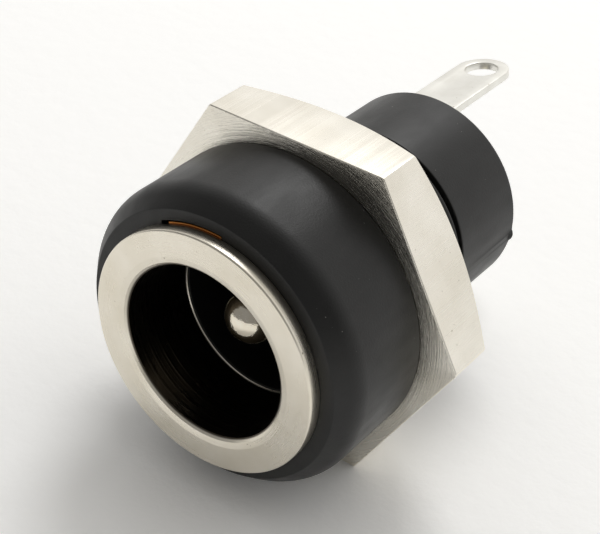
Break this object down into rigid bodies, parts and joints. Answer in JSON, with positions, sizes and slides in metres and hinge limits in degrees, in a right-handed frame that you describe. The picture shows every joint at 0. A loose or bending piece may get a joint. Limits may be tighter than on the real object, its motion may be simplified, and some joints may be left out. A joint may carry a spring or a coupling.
{
  "type": "dc barrel jack",
  "caption": "Panel-mount barrel socket for a coaxial power plug, with a flanged metal sleeve, centre pin, moulded body, hex nut and solder lugs.",
  "frame": {"origin": "centre of the mouth, in the plane of the flange's front face", "axes": "+Y along the jack's axis, the way the plug goes in, with the solder lugs at the far end; +Z square to the nut's top flat, away from the flat it lies on"},
  "size_m": [0.0138, 0.0187, 0.012],
  "materials": {
    "moulding": "black moulded plastic with a soft sheen",
    "sleeve_nickel": "turned brass with satin nickel plating",
    "terminal_tin": "stamped strip with pale tin plating",
    "pin_nickel": "turned brass with bright nickel plating",
    "nut_nickel": "turned hexagon bar with nickel plating"
  },
  "bodies": {
    "root": {"body": "moulding", "sleeve": "sleeve_nickel", "contact_strip": "terminal_tin", "centre_pin": "pin_nickel", "pin_terminal": "terminal_tin", "hex_nut": "nut_nickel"}
  },
  "joints": []
}
